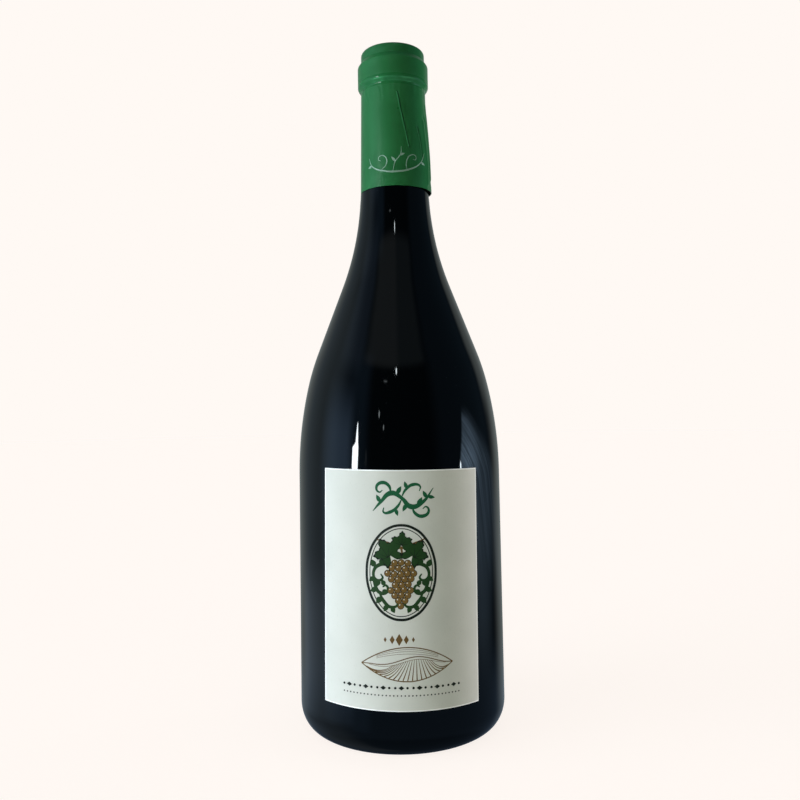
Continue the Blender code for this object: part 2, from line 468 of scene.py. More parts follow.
def shaped(piece, rule):
    """Moves every point along its normal by what a rule gives for it, as a sculpting brush would."""
    moves = [vertex.normal * rule(vertex.co) for vertex in piece.data.vertices]
    for vertex, move in zip(piece.data.vertices, moves):
        vertex.co += move
    piece.data.update()
    return piece


def step_between(value, low, high):
    """0 below one value and 1 above another, smooth in between."""
    share = max(0.0, min(1.0, (value - low) / (high - low)))
    return share * share * (3.0 - 2.0 * share)


print("outline helpers ready")

# %% [markdown]
# ## The glass
#
# A burgundy bottle has no hard shoulder: two long rounds lean in, a straight cone carries on,
# and a hollow round runs into the neck. The rounds keep the radii of the CAD model but have
# four times its steps, so that reflections flow without facets. Under the sleeve the glass is a
# little thinner, which lets the sleeve lie nearly flush. Two fine seams at the sides show where
# the mould's halves met. The ring it stands on has a row of small raised marks, which keep the
# hot glass off the belt in the factory, so the ring itself sits a hair above the table.

# %% Glass outline
HEIGHT = cad_box[1].z
BODY_RADIUS = bottle_box[1].x
HEEL_REACH = 7.3 * MM
HEEL_RISE = 10.4 * MM
RING_INNER_RADIUS = 33.5 * MM
MARK_RISE = 0.14 * MM            # how far the marks lift the ring off the table
PUNT_EDGE_ROUND = 2.5 * MM
PUNT_SLOPE = radians(47.0)
PUNT_TOP_ROUND = 15.0 * MM
SHOULDER_START = 106.7 * MM
UPPER_BODY_ROUND = 168.6 * MM
SHOULDER_ROUND = 106.0 * MM
FIRST_LEAN = radians(13.2)
CONE_LEAN = radians(20.9)
CONE_LENGTH = 31.4 * MM
SLEEVE_LOW = sleeve_box[0].z
SLEEVE_WALL = 0.4 * MM
GAP = 0.3 * MM
NECK_TAPER = radians(0.9)
NECK_TOP = 278.0 * MM
NECK_TOP_RADIUS = 14.6 * MM
RING_LOW = 280.0 * MM
RING_TOP = 289.1 * MM
RING_RADIUS = 16.0 * MM
LIP_LOW = 291.5 * MM
LIP_RADIUS = 14.4 * MM
NECK_TOP_ROUND = 1.0 * MM
RING_ROUND = 0.9 * MM
LIP_LOW_ROUND = 0.6 * MM
LIP_TOP_ROUND = 1.2 * MM
GLASS_ROW = 2.2 * MM
STEPS_ROUND = 224                # faces round the axis
CORNER_STEPS = 6


def neck_radius(height):
    """Radius over the sleeve, on the tapered stretch below the mouth's ring."""
    return NECK_TOP_RADIUS + (NECK_TOP - height) * tan(NECK_TAPER)


def mouth_corners(inset, low):
    """Corners of neck, ring and lip, drawn in from the sleeve's surface."""
    return [
        (neck_radius(low) - inset, low),
        (NECK_TOP_RADIUS - inset, NECK_TOP),
        (RING_RADIUS - inset, RING_LOW),
        (RING_RADIUS - inset, RING_TOP),
        (LIP_RADIUS - inset, LIP_LOW),
        (LIP_RADIUS - inset, HEIGHT - inset),
    ]


MOUTH_ROUNDS = [NECK_TOP_ROUND, RING_ROUND, RING_ROUND, LIP_LOW_ROUND, LIP_TOP_ROUND]


def punt_line():
    """Hollow under the bottle, from its top on the axis out to the flat ring."""
    edge = (RING_INNER_RADIUS, PUNT_EDGE_ROUND + MARK_RISE)
    wall_low = (edge[0] - PUNT_EDGE_ROUND * sin(PUNT_SLOPE), edge[1] - PUNT_EDGE_ROUND * cos(PUNT_SLOPE))
    reach = PUNT_TOP_ROUND * sin(PUNT_SLOPE)
    wall_high = wall_low[1] + (wall_low[0] - reach) * tan(PUNT_SLOPE)
    dome = (0.0, wall_high - PUNT_TOP_ROUND * cos(PUNT_SLOPE))
    down = arc(dome, PUNT_TOP_ROUND, pi / 2, pi / 2 - PUNT_SLOPE, steps=12)
    foot = arc(edge, PUNT_EDGE_ROUND, -pi / 2 - PUNT_SLOPE, -pi / 2, steps=10)
    return [(0.0, dome[1] + PUNT_TOP_ROUND)] + down + [wall_low] + foot


def heel_line():
    """Elliptical round from the flat ring up to the body."""
    quarter = arc((0.0, 0.0), 1.0, -pi / 2, 0.0, steps=24)
    start = BODY_RADIUS - HEEL_REACH
    line = [(start + HEEL_REACH * r, max(MARK_RISE, HEEL_RISE * (1 + z))) for r, z in quarter]
    return [(start, MARK_RISE)] + line


def shoulder_line():
    """Body and shoulder, up to the sleeve's lower edge."""
    line = [(BODY_RADIUS, SHOULDER_START)]
    centre = (BODY_RADIUS - UPPER_BODY_ROUND, SHOULDER_START)
    line += arc(centre, UPPER_BODY_ROUND, 0.0, FIRST_LEAN, steps=20)
    r, z = line[-1]
    centre = (r - SHOULDER_ROUND * cos(FIRST_LEAN), z - SHOULDER_ROUND * sin(FIRST_LEAN))
    line += arc(centre, SHOULDER_ROUND, FIRST_LEAN, CONE_LEAN, steps=10)
    r, z = line[-1]
    r -= CONE_LENGTH * sin(CONE_LEAN)
    z += CONE_LENGTH * cos(CONE_LEAN)
    line.append((r, z))
    drop = cos(NECK_TAPER) - cos(CONE_LEAN)
    neck_round = (r - neck_radius(z)) / (drop - (sin(CONE_LEAN) - sin(NECK_TAPER)) * tan(NECK_TAPER))
    centre = (r + neck_round * cos(CONE_LEAN), z + neck_round * sin(CONE_LEAN))
    end = asin(sin(CONE_LEAN) - (SLEEVE_LOW - GAP - z) / neck_round)
    return line + arc(centre, -neck_round, CONE_LEAN, end, steps=30)


inset = SLEEVE_WALL + GAP
mouth_line = mouth_corners(inset, SLEEVE_LOW - GAP) + [(0.0, HEIGHT - inset)]
mouth = rounded(mouth_line, MOUTH_ROUNDS, CORNER_STEPS)
glass_line = fine(punt_line() + heel_line() + shoulder_line() + mouth, GLASS_ROW)
print("points of the glass outline:", len(glass_line))

# %% Glass body with its two mould seams
SEAM_HALF = 0.35 * MM
SEAM_RISE = 0.09 * MM
SEAM_TOP = SLEEVE_LOW - 2 * MM

glass = turned("glass_body", glass_line, STEPS_ROUND)
only(glass)
bpy.ops.object.mode_set(mode="EDIT")
for side in (-SEAM_HALF, SEAM_HALF):
    bpy.ops.mesh.select_all(action="SELECT")
    bpy.ops.mesh.bisect(plane_co=(0.0, side, 0.0), plane_no=(0.0, 1.0, 0.0))
bpy.ops.object.mode_set(mode="OBJECT")


def seam(point):
    """Rise of the seam, on the sides only and away from the foot."""
    on_seam = abs(point.y) < SEAM_HALF / 2 and abs(point.x) > RING_INNER_RADIUS / 3
    outside = point.z > HEEL_RISE / 3 and hypot(point.x, point.y) > neck_radius(SLEEVE_LOW) - MM
    return SEAM_RISE if on_seam and outside and point.z < SEAM_TOP else 0.0


shaped(glass, seam)
print("glass triangles:", triangles(glass))

# %% Marks on the ring
MARK_COUNT = 90
MARK_CORNERS = 10
MARK_RADIUS = 0.6 * MM
MARK_TIP = 0.55                  # width where it stands, as a share of its width at the glass
MARK_CIRCLE = (RING_INNER_RADIUS + BODY_RADIUS - HEEL_REACH) / 2

mark = added(bpy.ops.mesh.primitive_circle_add, "ring_marks", vertices=MARK_CORNERS, radius=MARK_RADIUS,
             fill_type="NGON", location=(0.0, 0.0, 2 * MARK_RISE))
bpy.ops.object.mode_set(mode="EDIT")
for share in (1.4, 0.6):
    bpy.ops.mesh.extrude_region_move(TRANSFORM_OT_translate={"value": (0.0, 0.0, -share * MARK_RISE)})
bpy.ops.transform.resize(value=(MARK_TIP, MARK_TIP, 1.0))
bpy.ops.mesh.select_all(action="SELECT")
bpy.ops.mesh.normals_make_consistent(inside=False)
bpy.ops.object.mode_set(mode="OBJECT")
settle(mark)
marks = [mark]
for number in range(1, MARK_COUNT):
    copy = mark.copy()
    copy.data = mark.data.copy()
    bpy.context.collection.objects.link(copy)
    marks.append(copy)
for number, copy in enumerate(marks):
    angle = 2 * pi * number / MARK_COUNT
    copy.location = (MARK_CIRCLE * cos(angle), MARK_CIRCLE * sin(angle), 0.0)
marks = settle(joined("ring_marks", marks))
print("marks on the ring:", MARK_COUNT)

# %% [markdown]
# ## The glass's finish
#
# The glass is so deep a green that it reads as black, so its own colour is nearly nothing and
# the mirror does the work. Blown glass is never a perfect mirror: it carries slow waves that
# run down the bottle, and a fine unevenness from the mould. A little dust dulls it here and
# there. All of it is read from Object coordinates, so it stays with the bottle.

# %% Glass finish
GLASS_IOR = 1.52
black_glass = Finish("green_black_glass", {"IOR": GLASS_IOR})
waves = black_glass.noise(black_glass.stretched(black_glass.place, (1.0, 1.0, 0.22)), 75.0, 1.0)
skin = black_glass.noise(black_glass.place, 260.0, 2.0)
dust = black_glass.noise(black_glass.place, 1500.0, 3.0).smooth(0.70, 0.78)
smudge = black_glass.noise(black_glass.place, 38.0, 4.0).smooth(0.42, 0.68)
black_glass.vary({
    "Base Color": black_glass.mixed(dust, (0.0003, 0.0006, 0.0006, 1.0), (0.008, 0.009, 0.009, 1.0)),
    "Roughness": 0.035 + 0.03 * smudge + 0.20 * dust,
    "Normal": black_glass.bump(skin, 0.004 * MM, black_glass.bump(waves, 0.045 * MM)),
})
for piece in (glass, marks):
    piece.data.materials.append(black_glass.material)
print("finish:", black_glass.material.name)

# %% [markdown]
# ## The sleeve
#
# The sleeve is a thin plastic film that was shrunk over the mouth with heat. It clings to the
# ring and the lip, puckers where it is drawn in under the ring, and on the right-hand side it
# has stayed slack, with a few creases. It is turned as one open skin, shaped by rules, and
# given its thickness last by a Solidify modifier, so that the wall is even in every fold.

# %% Sleeve outline
NECK_ROW = 0.46 * MM             # rows are close on the neck, where the creases are
SLEEVE_ROW = 0.72 * MM
RIM_WIDTH = 2.1 * MM             # of the raised rim round the top disc
GROOVE_WIDTH = 0.7 * MM
GROOVE_DEPTH = 0.35 * MM
DISC_DEPTH = 0.12 * MM
BEAD_RISE = 0.13 * MM            # film gathered just under the ring
BEAD_HEIGHT = 279.1 * MM
BEAD_HALF = 0.36 * MM

rim_inside = LIP_RADIUS - RIM_WIDTH
top_corners = mouth_corners(0.0, SLEEVE_LOW) + [
    (rim_inside, HEIGHT),
    (rim_inside - GROOVE_WIDTH * 0.4, HEIGHT - GROOVE_DEPTH),
    (rim_inside - GROOVE_WIDTH, HEIGHT - GROOVE_DEPTH),
    (rim_inside - GROOVE_WIDTH * 1.4, HEIGHT - DISC_DEPTH),
    (0.0, HEIGHT - DISC_DEPTH),
]
top_rounds = [0.15 * MM, 0.12 * MM, 0.12 * MM, 0.15 * MM]
sleeve_line = rounded(top_corners, MOUTH_ROUNDS + top_rounds, CORNER_STEPS)
sleeve_line = fine(sleeve_line[:2], NECK_ROW) + fine(sleeve_line[1:], SLEEVE_ROW)[1:]
sleeve = turned("film_sleeve", sleeve_line, STEPS_ROUND)
print("rows of the sleeve:", len(sleeve_line))

# %% Slack, creases and puckers
SLACK_TOP = 273.0 * MM
SLACK_REACH = 1.4 * MM
SLACK_DIRECTION = radians(82.0)  # from the front, to the right
SLACK_SPREAD = radians(42.0)
PUCKER_RISE = 0.035 * MM
PUCKER_LOW = 268.5 * MM
OVERLAP_DIRECTION = radians(176.0)
OVERLAP_WIDTH = radians(17.0)
OVERLAP_RISE = 0.09 * MM
PRICKS = ((5.2 * MM, radians(35.0)), (5.2 * MM, radians(215.0)))
PRICK_RADIUS = 0.42 * MM
PRICK_DEPTH = 0.30 * MM
FAR_OFF = 9.0                    # mm from a crease
VALLEY_OFF = 1.9                 # from a ridge to the valley beside it, in half widths
VALLEY_WIDTH = 1.3
# Each crease: places as (degrees from the front, mm up), then its rise and half width in mm
CREASES = (
    (((7, 273), (11.5, 266), (16.5, 260), (20.5, 255), (25, 249)), 0.20, 0.26),
    (((42, 258), (45, 255), (49, 251), (50, 246)), 0.18, 0.26),
    (((60, 262), (65, 250), (68, 241), (66, 234)), 0.30, 0.80),
    (((74, 270), (79, 262), (82, 247), (79, 237)), 0.26, 0.90),
    (((98, 268), (104, 255), (101, 240)), 0.26, 1.00),
    (((-58, 276), (-54, 273), (-50, 271)), 0.06, 0.45),
    (((-30, 277), (-25, 274.5), (-24, 271)), 0.06, 0.45),
    (((128, 274), (133, 266), (130, 259)), 0.16, 0.80),
    (((-118, 275), (-112, 268), (-114, 263)), 0.14, 0.70),
)


def bell(value):
    """1 at zero, and down to nothing within two or three to either side."""
    return exp(-value * value)


def bearing(point):
    """Direction of a point from the bottle's front, to the right."""
    return atan2(point.x, -point.y)


def from_crease(direction, height, places):
    """Signed distance in mm from a fold's line, up to where no fold counts."""
    nearest = FAR_OFF
    spot = Vector((direction * NECK_TOP_RADIUS / MM, height / MM))
    for (turn_a, up_a), (turn_b, up_b) in zip(places, places[1:]):
        start = Vector((radians(turn_a) * NECK_TOP_RADIUS / MM, up_a))
        run = Vector((radians(turn_b) * NECK_TOP_RADIUS / MM, up_b)) - start
        share = max(0.0, min(1.0, (spot - start).dot(run) / run.length_squared))
        off = spot - start - run * share
        side = 1.0 if run.x * off.y - run.y * off.x > 0 else -1.0
        if off.length < abs(nearest):
            nearest = side * off.length
    return nearest


def crease_push(direction, height, places, rise, half):
    """A fold's ridge and the valley beside it."""
    away = from_crease(direction, height, places) / half
    return rise * MM * (bell(away) - bell((away - VALLEY_OFF) / VALLEY_WIDTH))


def film_push(point):
    """How far the film stands off the smooth outline at a point."""
    if point.z > RING_LOW:
        reach = hypot(point.x, point.y)
        if reach > rim_inside:
            return 0.0
        dips = [hypot(point.x - r * sin(a), point.y + r * cos(a)) / PRICK_RADIUS for r, a in PRICKS]
        return -PRICK_DEPTH * sum(bell(dip) for dip in dips)
    direction = bearing(point)
    fade = 1.0 - step_between(point.z, NECK_TOP - 2 * MM, RING_LOW)
    push = 0.0
    if point.z < SLACK_TOP:
        away = (direction - SLACK_DIRECTION) / SLACK_SPREAD
        down = (SLACK_TOP - point.z) / (SLACK_TOP - SLEEVE_LOW)
        push += SLACK_REACH * sin(down * pi / 2) * bell(away)
    for places, rise, half in CREASES:
        push += fade * crease_push(direction, point.z, places, rise, half)
    gather = step_between(point.z, PUCKER_LOW, NECK_TOP)
    wave = sin(31 * direction + 1.4 * sin(5 * direction)) + 0.7 * sin(19 * direction + 2.0)
    push += fade * PUCKER_RISE * gather * wave
    push += BEAD_RISE * bell((point.z - BEAD_HEIGHT) / BEAD_HALF)
    behind = (direction - OVERLAP_DIRECTION + pi) % (2 * pi) - pi
    lap = step_between(behind, -OVERLAP_WIDTH, -OVERLAP_WIDTH * 0.4) * (1.0 - step_between(behind, 0.0, 0.02))
    return push + OVERLAP_RISE * lap * fade


def push_sideways(piece, rule):
    """Moves points level and away from the axis, but the top's points straight up or down."""
    for vertex in piece.data.vertices:
        way = Vector((vertex.co.x, vertex.co.y, 0.0))
        if vertex.co.z > HEIGHT - MM and way.length < rim_inside:
            vertex.co.z += rule(vertex.co)
        elif way.length > MM:
            vertex.co += way.normalized() * rule(vertex.co)
    piece.data.update()


# The sharpest creases are narrower than the mesh, so the faces near them are divided once more
SHARP_HALF = 0.3
SHARP_REACH = 1.1                # mm to either side
only(sleeve)
bpy.ops.object.mode_set(mode="EDIT")
bpy.ops.mesh.select_all(action="DESELECT")
bpy.ops.object.mode_set(mode="OBJECT")
sharp = [places for places, rise, half in CREASES if half < SHARP_HALF]
for face in sleeve.data.polygons:
    if SLEEVE_LOW < face.center.z < NECK_TOP:
        way = bearing(face.center)
        off = [abs(from_crease(way, face.center.z, places)) for places in sharp]
        face.select = min(off) < SHARP_REACH
bpy.ops.object.mode_set(mode="EDIT")
bpy.ops.mesh.subdivide(number_cuts=1)
bpy.ops.object.mode_set(mode="OBJECT")


def fold_shade_and_crest_highlight(point):
    """Painted shade: 1 in the bottom of a sharp crease, where light hardly comes. Painted highlight: -1 on
    its crest.
    """
    shade = 0.0
    for places, rise, half in CREASES:
        if half < SHARP_HALF and point.z < NECK_TOP:
            away = from_crease(bearing(point), point.z, places) / half
            shade += bell((away - 1.5) / 0.9) - bell((away + 0.5) / 0.8)
    return shade


# Painted shade for the bottoms of sharp creases and a painted highlight for their crests, stored per point
painted_fold_shading = sleeve.data.attributes.new("fold", "FLOAT", "POINT")
painted_fold_shading.data.foreach_set("value", [fold_shade_and_crest_highlight(vertex.co) for vertex in sleeve.data.vertices])
push_sideways(sleeve, film_push)
thickened(sleeve, SLEEVE_WALL * 0.7)
settle(sleeve, radians(50.0))
print("sleeve triangles:", triangles(sleeve))

# %% [markdown]
# ## The film's finish
#
# Green all through with a satin sheen: a dielectric with a middling roughness. Where the film is
# drawn tight round the ring's lower edge it shines more, and in front the two bends there carry
# pale bands that are painted highlights. An attribute of the mesh, written when the creases were
# made, says where a fold is deep and where it stands up: the deep folds are painted darker as
# shade and the crests paler as highlight. The right side, where the film hangs loose, is painted
# darker as shade, and the lip and the top's outer edge are made darker. Close up the film has
# the fine orange-peel skin of shrunk plastic.

# %% Film finish
EDGE_INNER = 12.4 * MM           # radii between which the top's outer edge turns dark
EDGE_OUTER = 13.6 * MM
film = Finish("green_film", {"IOR": 1.5, "Specular IOR Level": 0.5})
cloud = film.noise(film.place, 110.0, 3.0)
peel = film.noise(film.place, 1100.0, 2.0)
crackle = film.noise(film.stretched(film.place, (1.0, 1.0, 2.2)), 420.0, 3.0)
film_x, film_y, height = film.split(film.place)
side = film_x.math("ARCTAN2", 0 - film_y) * TO_DEGREES
tight = height.between(NECK_TOP - 0.8 * MM, RING_LOW + 1.0 * MM, 0.4 * MM)
# Pale bands painted along the ring's two lower bends as highlights, strongest in front where the window's
# glints fall, fading to the sides
painted_highlight_bands = 0.45 * height.between(NECK_TOP + 0.35 * MM, RING_LOW - 0.05 * MM, 0.25 * MM)
painted_highlight_bands = painted_highlight_bands + 0.65 * height.between(NECK_TOP + 0.25 * MM, NECK_TOP + 0.50 * MM, 0.15 * MM)
painted_highlight_bands = painted_highlight_bands + 0.65 * height.between(RING_LOW - 0.55 * MM, RING_LOW - 0.25 * MM, 0.15 * MM)
highlight_bearings = side.between(-34.0, -16.0, 6.0) + side.between(12.0, 34.0, 6.0)
painted_highlight_bands = painted_highlight_bands * (0.35 + 0.5 * crackle.smooth(0.35, 0.70)) * (0.65 + 0.8 * highlight_bearings)
painted_highlight_bands = painted_highlight_bands * (1 - 0.75 * side.math("ABSOLUTE").smooth(26.0, 52.0))
top_edge = height.smooth(HEIGHT - 1.1 * MM, HEIGHT - 0.3 * MM)
top_edge = top_edge * (film_x * film_x + film_y * film_y).smooth(EDGE_INNER ** 2, EDGE_OUTER ** 2)
lip = height.smooth(RING_TOP, LIP_LOW) + 2.3 * top_edge
# The right side, where the film hangs loose, painted darker as shade
loose_side_shade = side.between(32.0, 95.0, 8.0)
# Point attribute: 1 for painted shade in crease bottoms, -1 for a painted highlight on crests
fold = film.node("ShaderNodeAttribute", {"attribute_name": "fold"}, output=2)
near_ring = height.between(269.0 * MM, 279.0 * MM, 3.0 * MM)
green = film.mixed(cloud.smooth(0.3, 0.7), (0.0125, 0.112, 0.030, 1.0), (0.0150, 0.127, 0.036, 1.0))
# The lip and the top's outer edge are made darker, and the loose right side is painted darker as shade
green = film.mixed(lip * 0.22 + loose_side_shade * 0.22, green, (0.005, 0.050, 0.016, 1.0))
# The painted highlight bands along the ring's bends
green = film.mixed(painted_highlight_bands, green, (0.060, 0.300, 0.120, 1.0))
# Painted shade in the bottoms of sharp creases
green = film.mixed(fold.smooth(0.1, 1.0) * 0.85, green, (0.002, 0.022, 0.007, 1.0))
# Painted highlight on the crests of sharp creases
green = film.mixed((0 - fold).smooth(0.2, 1.0) * 0.5, green, (0.050, 0.260, 0.110, 1.0))
film.vary({
    "Base Color": green,
    "Roughness": 0.25 + 0.10 * cloud - 0.19 * tight,
    "Normal": film.bump(peel, 0.010 * MM, film.bump(crackle * near_ring, 0.07 * MM)),
})
sleeve.data.materials.append(film.material)
print("finish:", film.material.name)

# %% [markdown]
# ## The paper label
#
# The label is a sheet of uncoated paper, glued on by machine and a touch askew, its left side
# high. It is a grid, given a thickness while it is flat on the table, and then wrapped: what
# was across becomes an angle, and what was up stays up. A Simple Deform modifier could bend
# it too, but the same rule will also wrap every motif of the print, so that ink and paper can
# never part. A pale band all round the sheet's cut edge is a painted highlight.

# %% Wrapping rule and paper sheet
LABEL_WIDTH = 66.6 * MM          # as it measures in the photograph, a little under the CAD sheet
LABEL_HEIGHT = 91.7 * MM
LABEL_MIDDLE = (label_box[0].z + label_box[1].z) / 2
LABEL_SKEW = radians(0.85)
PAPER_THICKNESS = 0.26 * MM
PAPER_STAND_OFF = 0.04 * MM      # glue under the paper
PAPER_FACE = BODY_RADIUS + PAPER_STAND_OFF + PAPER_THICKNESS


def wrapped_on_label(piece):
    """Wraps flat work round the body: x is across, y is up, and z stands out of the paper's face."""
    for vertex in piece.data.vertices:
        across, up, out = vertex.co
        angle = (across * cos(LABEL_SKEW) + up * sin(LABEL_SKEW)) / BODY_RADIUS
        radius = PAPER_FACE + out
        level = LABEL_MIDDLE + up * cos(LABEL_SKEW) - across * sin(LABEL_SKEW)
        vertex.co = (radius * sin(angle), -radius * cos(angle), level)
    piece.data.update()
    return settle(piece)


paper_sheet = added(bpy.ops.mesh.primitive_grid_add, "paper_label",
                    x_subdivisions=120, y_subdivisions=90, size=1.0)
paper_sheet.scale = (LABEL_WIDTH, LABEL_HEIGHT, 1.0)
settle(paper_sheet)
thickened(paper_sheet, PAPER_THICKNESS)
wrapped_on_label(paper_sheet)
print("paper:", round(LABEL_WIDTH / MM), "by", round(LABEL_HEIGHT / MM), "mm, wrapped over",
      round(LABEL_WIDTH / BODY_RADIUS * TO_DEGREES), "degrees")

# %% Paper finish
EDGE_WIDTH = 0.42 * MM
paper = Finish("uncoated_paper", {"IOR": 1.45, "Specular IOR Level": 0.25})
side_share, up_share = paper.split(paper.node("ShaderNodeUVMap"))[:2]
from_side = (0.5 - (side_share - 0.5).math("ABSOLUTE")) * LABEL_WIDTH
from_end = (0.5 - (up_share - 0.5).math("ABSOLUTE")) * LABEL_HEIGHT
# A pale band all round the sheet's cut edge: a painted highlight
painted_edge_highlight = 1 - from_side.math("MINIMUM", from_end).smooth(EDGE_WIDTH * 0.6, EDGE_WIDTH * 1.3)
pulp = paper.noise(paper.place, 700.0, 4.0)
fibres = paper.noise(paper.stretched(paper.place, (1.0, 1.0, 0.35)), 2600.0, 3.0)
cloudy = paper.noise(paper.place, 60.0, 2.0)
sheet_colour = paper.mixed(cloudy.smooth(0.3, 0.7), (0.612, 0.616, 0.557, 1.0), (0.648, 0.648, 0.588, 1.0))
fleck = paper.mixed(fibres.smooth(0.60, 0.72) * 0.35, sheet_colour, (0.51, 0.51, 0.45, 1.0))
paper.vary({
    "Base Color": paper.mixed(painted_edge_highlight, fleck, (0.97, 0.97, 0.94, 1.0)),
    "Roughness": 0.72 + 0.15 * pulp,
    "Normal": paper.bump(fibres, 0.010 * MM, paper.bump(pulp, 0.020 * MM)),
})
paper_sheet.data.materials.append(paper.material)
print("finish:", paper.material.name)

# %% [markdown]
# ## Printing
#
# Print is ink that stands on the paper by a few hundredths of a millimetre. A texture could
# show it, but real thin shapes keep their edges sharp at any size and go along when the part
# is exported. Two ways of making them are enough. A pen stroke is a curve whose radius is the
# pen's pressure, turned into a mesh and pressed flat. A cut-out is a circle whose corners are
# moved onto an outline and extruded by the ink's thickness. Both are drawn flat and wrapped.

# %% Print helpers
INK_SUNK = 0.05 * MM
INK_PROUD = 0.035 * MM
STRIP = 1.4 * MM                 # flat shapes are cut this narrow, so that they can bend
STROKE_STEPS = 7


def ink(name, colour, worn, roughness, metallic=0.0):
    """An ink's finish: one colour with fine pinholes where the paper's grain let it down."""
    made = Finish(name, {"IOR": 1.45, "Metallic": metallic})
    grain = made.noise(made.place, 2300.0, 3.0)
    made.vary({
        "Base Color": made.mixed(grain.smooth(0.58, 0.75) * 0.3, (*colour, 1.0), (*worn, 1.0)),
        "Roughness": roughness + 0.15 * grain,
        "Normal": made.bump(grain, 0.006 * MM),
    })
    return made.material


green_ink = ink("green_ink", (0.002, 0.088, 0.030), (0.02, 0.16, 0.07), 0.45)
leaf_ink = ink("leaf_ink", (0.010, 0.044, 0.007), (0.03, 0.09, 0.03), 0.50)
dark_ink = ink("dark_ink", (0.004, 0.008, 0.004), (0.03, 0.035, 0.03), 0.55)
brown_ink = ink("brown_ink", (0.130, 0.070, 0.018), (0.22, 0.14, 0.06), 0.50)
gold_ink = ink("gold_ink", (0.170, 0.095, 0.022), (0.26, 0.16, 0.05), 0.45)
pale_ink = ink("pale_ink", (0.800, 0.830, 0.790), (0.75, 0.78, 0.74), 0.55)
foil = ink("silver_foil", (0.250, 0.390, 0.300), (0.12, 0.24, 0.16), 0.42, 0.30)


def pen_strokes(name, strokes, material, closed=False, proud=INK_PROUD):
    """Strokes through given points (across, up, pen width), all in mm, pressed flat."""
    line = bpy.data.curves.new(name, "CURVE")
    line.dimensions = "3D"
    line.bevel_depth = MM / 2
    line.bevel_resolution = 2
    line.resolution_u = STROKE_STEPS
    line.use_fill_caps = True
    for stroke in strokes:
        spline = line.splines.new("BEZIER")
        spline.bezier_points.add(len(stroke) - 1)
        spline.use_cyclic_u = closed
        for point, (across, up, width) in zip(spline.bezier_points, stroke):
            point.co = (across * MM, up * MM, 0.0)
            point.handle_left_type = "AUTO"
            point.handle_right_type = "AUTO"
            point.radius = width
    piece = bpy.data.objects.new(name, line)
    bpy.context.collection.objects.link(piece)
    only(piece)
    bpy.ops.object.convert(target="MESH")
    piece = bpy.context.active_object
    for vertex in piece.data.vertices:
        vertex.co.z = max(-INK_SUNK, min(proud, vertex.co.z))
    piece.data.materials.append(material)
    return piece


def cut_out(name, outline, material, proud=INK_PROUD):
    """A flat printed shape inside an outline of (across, up) points in mm."""
    piece = added(bpy.ops.mesh.primitive_circle_add, name, vertices=len(outline), radius=MM, fill_type="NGON")
    for vertex, (across, up) in zip(piece.data.vertices, outline):
        vertex.co = (across * MM, up * MM, -INK_SUNK)
    bpy.ops.object.mode_set(mode="EDIT")
    bpy.ops.mesh.select_all(action="SELECT")
    bpy.ops.mesh.extrude_region_move(TRANSFORM_OT_translate={"value": (0.0, 0.0, INK_SUNK + proud)})
    bpy.ops.mesh.select_all(action="SELECT")
    bpy.ops.mesh.normals_make_consistent(inside=False)
    reach = [across for across, up in outline]
    for number in range(int(min(reach) * MM / STRIP) - 1, int(max(reach) * MM / STRIP) + 2):
        bpy.ops.mesh.select_all(action="SELECT")
        bpy.ops.mesh.bisect(plane_co=(number * STRIP, 0.0, 0.0), plane_no=(1.0, 0.0, 0.0))
    bpy.ops.object.mode_set(mode="OBJECT")
    piece.data.materials.append(material)
    return piece


def placed(outline, across=0.0, up=0.0, degrees=0.0, size=1.0):
    """An outline turned, scaled and moved."""
    c = cos(radians(degrees)) * size
    s = sin(radians(degrees)) * size
    return [(across + x * c - y * s, up + x * s + y * c) for x, y in outline]


def leaf(length, width, steps=9):
    """A pointed leaf that starts at the origin and points to the right."""
    shares = [k / steps for k in range(steps + 1)]
    upper = [(length * t, width / 2 * sin(pi * t ** 0.8)) for t in shares]
    return upper + [(x, -y) for x, y in upper[-2:0:-1]]


NOTCH_HALF = 0.28                # radians, where the leaf meets its stalk
TEETH = 20


def vine_leaf(steps=80):
    """A five-lobed leaf with fine teeth, one unit from its middle to its tips."""
    outline = []
    for k in range(steps):
        angle = 2 * pi * k / steps
        from_tip = angle - pi / 2
        notch = bell(((from_tip + 2 * pi) % (2 * pi) - pi) / NOTCH_HALF)
        reach = 0.76 + 0.18 * cos(5 * from_tip) + 0.05 * cos(TEETH * from_tip)
        reach *= 1 - 0.62 * notch
        outline.append((reach * cos(angle), reach * sin(angle)))
    return outline


def diamond(half_width, half_height):
    return [(half_width, 0.0), (0.0, half_height), (-half_width, 0.0), (0.0, -half_height)]


def dot(radius, corners=12):
    return [(radius * cos(2 * pi * k / corners), radius * sin(2 * pi * k / corners)) for k in range(corners)]


printed = []


def on_label(name, shapes, up):
    """Joins a motif's shapes, lifts them to their height over the label's middle and wraps them."""
    motif = joined(name, shapes)
    for vertex in motif.data.vertices:
        vertex.co.y += up * MM
    printed.append(wrapped_on_label(motif))


print("print helpers ready")

# %% [markdown]
# ## A vine flourish
#
# The head of the label carries a green flourish: a vine shoot that runs in an S with four curls
# and small leaves. It is drawn as with a brush, thin where the brush lands and leaves, and full
# in the turns, because a line of one even width would look like bent wire.

